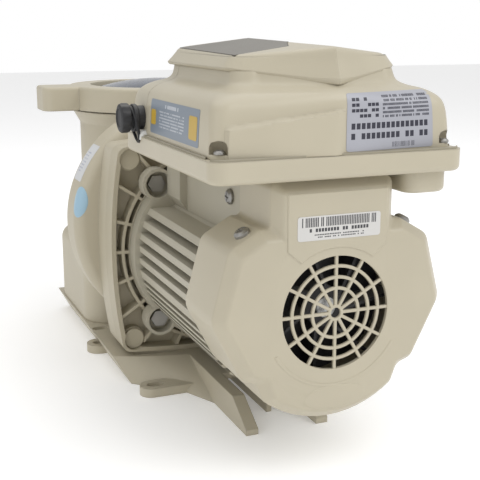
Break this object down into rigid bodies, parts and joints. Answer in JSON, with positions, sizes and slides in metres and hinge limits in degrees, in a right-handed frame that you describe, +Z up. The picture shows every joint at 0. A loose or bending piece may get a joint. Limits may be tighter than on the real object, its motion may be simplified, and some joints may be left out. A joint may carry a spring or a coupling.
{
  "type": "pool pump",
  "caption": "Pool circulation pump with strainer pot, finned motor, drive box and keypad on a moulded base.",
  "frame": {"origin": "centre of the bounding box at floor level", "axes": "+Y along the shaft from the fan end to the suction port, +Z up, +X to the right seen from the fan end"},
  "size_m": [0.268, 0.57, 0.3242],
  "materials": {
    "beige_cast": "painted casting",
    "beige_plastic": "satin moulded",
    "black_plastic": "matt",
    "black_rubber": "matt",
    "board": "lacquered",
    "buttons": "soft",
    "carbon": "lapped",
    "ceramic": "lapped",
    "clear_lid": "smoked clear",
    "copper": "enamelled wire",
    "dark_cover": "satin",
    "display": "dark",
    "laminations": "stacked",
    "steel": "plain",
    "white_basket": "plain"
  },
  "bodies": {
    "pump": {"base": "beige_plastic", "bearing_outer_races": "steel", "board_pillars": "steel", "capacitors": "black_plastic", "circuit_board": "board", "corner_bolt_caps": "beige_plastic", "diffuser": "black_plastic", "diffuser_oring": "black_rubber", "drive_cover": "beige_plastic", "drive_cover_screws": "steel", "drive_gasket": "black_rubber", "drive_tray": "beige_plastic", "fan_cover": "beige_plastic", "fan_cover_screws": "steel", "keypad_display": "display", "keypad_housing": "beige_plastic", "keypad_panel": "black_plastic", "motor_flange_bolts": "steel", "motor_front_flange": "beige_cast", "motor_housing": "beige_cast", "motor_pad": "black_rubber", "port_fitting": "black_plastic", "pump_body": "beige_plastic", "rear_bearing_bracket": "beige_cast", "seal_plate": "beige_plastic", "seal_plate_bolts": "steel", "seal_plate_oring": "black_rubber", "seal_seat": "ceramic", "stator_core": "laminations", "stator_windings": "copper", "terminal_block": "black_plastic", "wiring_cover": "beige_plastic", "wiring_cover_screws": "steel"},
    "rotor": {"motor_shaft": "steel", "rotor_core": "laminations", "bearing_inner_races": "steel", "bearing_balls": "steel", "cooling_fan": "black_plastic", "impeller": "black_plastic", "impeller_screw": "steel", "seal_head": "carbon"},
    "lid": {"lid": "clear_lid", "lid_oring": "black_rubber"},
    "locking_ring": {"locking_ring": "beige_plastic"},
    "strainer_basket": {"strainer_basket": "white_basket"},
    "keypad_cover": {"keypad_cover": "dark_cover"},
    "port_plug": {"port_plug": "black_plastic"},
    "pot_drain_plug": {"pot_drain_plug": "black_plastic"},
    "volute_drain_plug": {"volute_drain_plug": "black_plastic"},
    "menu_button": {"menu_button": "buttons"},
    "speed_button_1": {"speed_button_1": "buttons"},
    "speed_button_2": {"speed_button_2": "buttons"},
    "speed_button_3": {"speed_button_3": "buttons"},
    "speed_button_4": {"speed_button_4": "buttons"},
    "start_button": {"start_button": "buttons"}
  },
  "joints": [
    {"name": "rotor_spin", "type": "hinge", "parent": "pump", "child": "rotor", "pos_m": [0, 0, 0.127], "axis": [0, 1, 0], "continuous": true},
    {"name": "lid_lift", "type": "slide", "parent": "pump", "child": "lid", "axis": [0, 0, 1], "range_m": [0, 0.28]},
    {"name": "ring_turn", "type": "hinge", "parent": "lid", "child": "locking_ring", "pos_m": [0, 0.15, 0.251], "axis": [0, 0, 1], "range_deg": [0, 45]},
    {"name": "basket_lift", "type": "slide", "parent": "pump", "child": "strainer_basket", "axis": [0, 0, 1], "range_m": [0, 0.224]},
    {"name": "keypad_cover_hinge", "type": "hinge", "parent": "pump", "child": "keypad_cover", "pos_m": [0.0012, -0.101, 0.3224], "axis": [0, 0.9998, 0.022], "range_deg": [0, 95]},
    {"name": "port_plug_turn", "type": "hinge", "parent": "pump", "child": "port_plug", "pos_m": [-0.092, -0.107, 0.26], "axis": [-1, 0, 0], "range_deg": [0, 90]},
    {"name": "pot_drain_turn", "type": "hinge", "parent": "pump", "child": "pot_drain_plug", "pos_m": [-0.052, 0.23, 0.046], "axis": [0, 1, 0], "range_deg": [0, 360]},
    {"name": "volute_drain_turn", "type": "hinge", "parent": "pump", "child": "volute_drain_plug", "pos_m": [0.105, 0.043, 0.058], "axis": [1, 0, 0], "range_deg": [0, 360]},
    {"name": "menu_button_press", "type": "slide", "parent": "pump", "child": "menu_button", "axis": [0, 0, -1], "range_m": [0, 0.001], "stiffness_N_per_m": 300},
    {"name": "speed_button_1_press", "type": "slide", "parent": "pump", "child": "speed_button_1", "axis": [0, 0, -1], "range_m": [0, 0.001], "stiffness_N_per_m": 300},
    {"name": "speed_button_2_press", "type": "slide", "parent": "pump", "child": "speed_button_2", "axis": [0, 0, -1], "range_m": [0, 0.001], "stiffness_N_per_m": 300},
    {"name": "speed_button_3_press", "type": "slide", "parent": "pump", "child": "speed_button_3", "axis": [0, 0, -1], "range_m": [0, 0.001], "stiffness_N_per_m": 300},
    {"name": "speed_button_4_press", "type": "slide", "parent": "pump", "child": "speed_button_4", "axis": [0, 0, -1], "range_m": [0, 0.001], "stiffness_N_per_m": 300},
    {"name": "start_button_press", "type": "slide", "parent": "pump", "child": "start_button", "axis": [0, 0, -1], "range_m": [0, 0.001], "stiffness_N_per_m": 300}
  ],
  "couplings": [
    {"joint": "basket_lift", "follows": "lid_lift", "ratio": 0.8}
  ]
}
